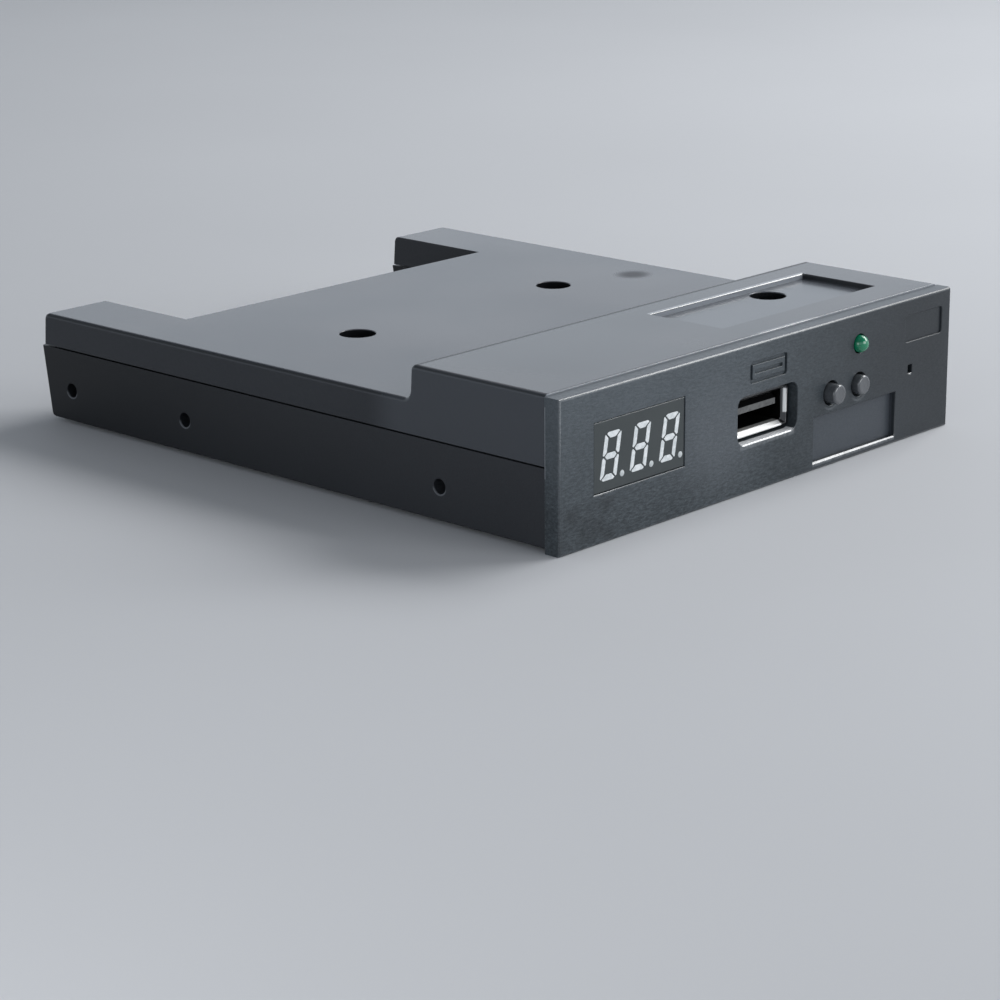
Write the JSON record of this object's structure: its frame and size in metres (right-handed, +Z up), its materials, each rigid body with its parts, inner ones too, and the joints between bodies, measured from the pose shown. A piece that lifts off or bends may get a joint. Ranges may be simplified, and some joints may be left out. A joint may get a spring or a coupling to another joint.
{
  "type": "floppy drive emulator",
  "caption": "Flat drive-bay box with a digit display, a USB socket, two push buttons and a lamp in its bezel, and pin headers in a notch at the back.",
  "frame": {"origin": "middle of the footprint's bounding box, at the level of the foot pads", "axes": "+X to the right seen from the front, +Y from the bezel to the back, +Z up"},
  "size_m": [0.1016, 0.125, 0.025],
  "materials": {
    "bezel_plastic": "matte",
    "case_plastic": "satin",
    "tray_plastic": "satin",
    "black_plastic": "matte",
    "white_plastic": "matte",
    "button_plastic": "matte",
    "display_black": "matte",
    "display_resin": "gloss",
    "lamp_resin": "gloss",
    "board": "satin",
    "steel": "bright",
    "gilt": "bright",
    "can_metal": "satin",
    "resistor_coat": "satin"
  },
  "bodies": {
    "housing": {"front_bezel": "bezel_plastic", "top_cover": "case_plastic", "bottom_tray": "tray_plastic", "case_screw_left": "steel", "case_screw_right": "steel", "case_screw_front": "steel", "main_board": "board", "display_board": "board", "display_shell": "display_black", "display_filling": "display_resin", "display_header": "black_plastic", "usb_shell": "steel", "usb_insulator": "black_plastic", "usb_contact_1": "gilt", "usb_contact_2": "gilt", "usb_contact_3": "gilt", "usb_contact_4": "gilt", "switch_body_left": "black_plastic", "switch_body_right": "black_plastic", "switch_bracket_left": "steel", "switch_bracket_right": "steel", "contact_dome_left": "steel", "contact_dome_right": "steel", "lamp_lens": "lamp_resin", "lamp_lead_left": "steel", "lamp_lead_right": "steel", "lamp_holder": "black_plastic", "data_header": "black_plastic", "jumper_header": "black_plastic", "power_header": "white_plastic", "controller_chip": "black_plastic", "buffer_chip_left": "black_plastic", "buffer_chip_right": "black_plastic", "crystal_can": "can_metal", "capacitor_front": "can_metal", "capacitor_rear": "can_metal", "regulator": "black_plastic", "resistor_network": "resistor_coat"},
    "left_button": {"button_left": "button_plastic"},
    "right_button": {"button_right": "button_plastic"},
    "inner_cap": {"jumper_cap_inner": "black_plastic"},
    "outer_cap": {"jumper_cap_outer": "black_plastic"}
  },
  "joints": [
    {"name": "left_button_press", "type": "slide", "parent": "housing", "child": "left_button", "axis": [0, 1, 0], "range_m": [0, 0.0003], "stiffness_N_per_m": 6600},
    {"name": "right_button_press", "type": "slide", "parent": "housing", "child": "right_button", "axis": [0, 1, 0], "range_m": [0, 0.0003], "stiffness_N_per_m": 6600},
    {"name": "inner_cap_pull", "type": "slide", "parent": "housing", "child": "inner_cap", "axis": [0, 1, 0], "range_m": [0, 0.0062]},
    {"name": "outer_cap_pull", "type": "slide", "parent": "housing", "child": "outer_cap", "axis": [0, 1, 0], "range_m": [0, 0.0062]}
  ]
}
